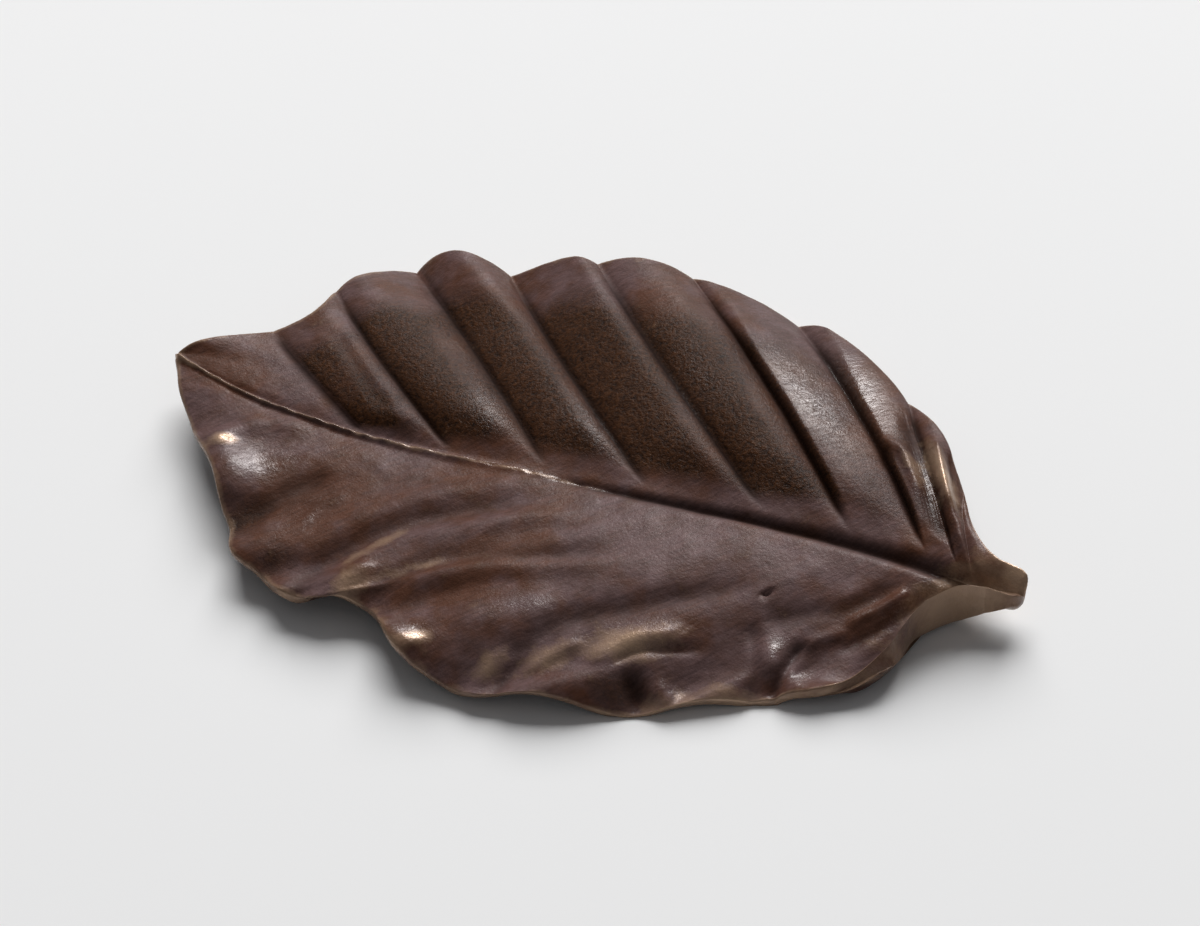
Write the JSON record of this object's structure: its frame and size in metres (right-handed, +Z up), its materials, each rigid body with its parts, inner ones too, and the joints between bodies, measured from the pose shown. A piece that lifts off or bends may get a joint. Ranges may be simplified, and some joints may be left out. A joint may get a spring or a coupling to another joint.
{
  "type": "cast bronze beech leaf",
  "caption": "Thin cast leaf with a pleated blade, wavy margin, midrib groove and short stalk, lying face up as a table or shelf ornament.",
  "frame": {"origin": "middle of the leaf's outline in plan, on the table the leaf rests on", "axes": "+X along the midrib towards the stalk, +Y towards the deeply pleated half, +Z up out of the upper face"},
  "size_m": [0.0838, 0.0573, 0.006],
  "materials": {
    "bronze_patina": "dark brown patina, rubbed brighter on the rim and ridges"
  },
  "bodies": {
    "root": {"leaf": "bronze_patina"}
  },
  "joints": []
}
